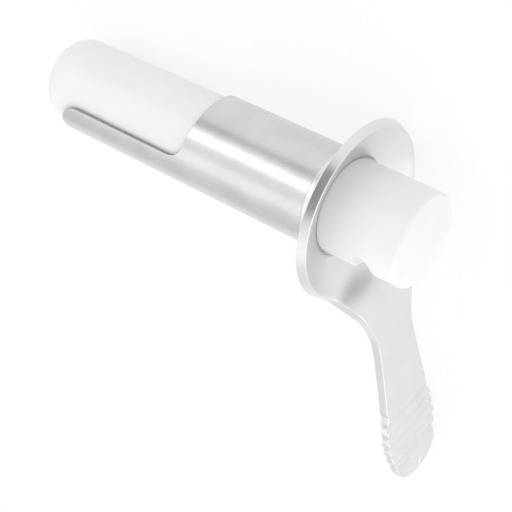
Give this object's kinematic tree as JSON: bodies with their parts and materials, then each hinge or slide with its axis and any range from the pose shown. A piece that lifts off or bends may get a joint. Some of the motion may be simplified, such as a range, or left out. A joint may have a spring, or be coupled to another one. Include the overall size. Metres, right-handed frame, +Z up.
{
  "type": "slotted tubular speculum with obturator",
  "caption": "Tubular surgical speculum in steel with a long slot, a dished flange, a flat ridged handle and a white plug that fills the bore.",
  "frame": {"origin": "middle of the footprint of the part as it lies on its side on a table", "axes": "+X along the tube from its tip towards the hand, +Y away from the handle, +Z up"},
  "size_m": [0.1144, 0.1088, 0.0449],
  "materials": {
    "steel": "satin",
    "plug": "matte"
  },
  "bodies": {
    "speculum": {"barrel": "steel", "flange_handle": "steel"},
    "plug": {"obturator": "plug"}
  },
  "joints": [
    {"name": "plug_slide", "type": "slide", "parent": "speculum", "child": "plug", "axis": [0.9929, 0, 0.1188], "range_m": [0, 0.1]}
  ]
}
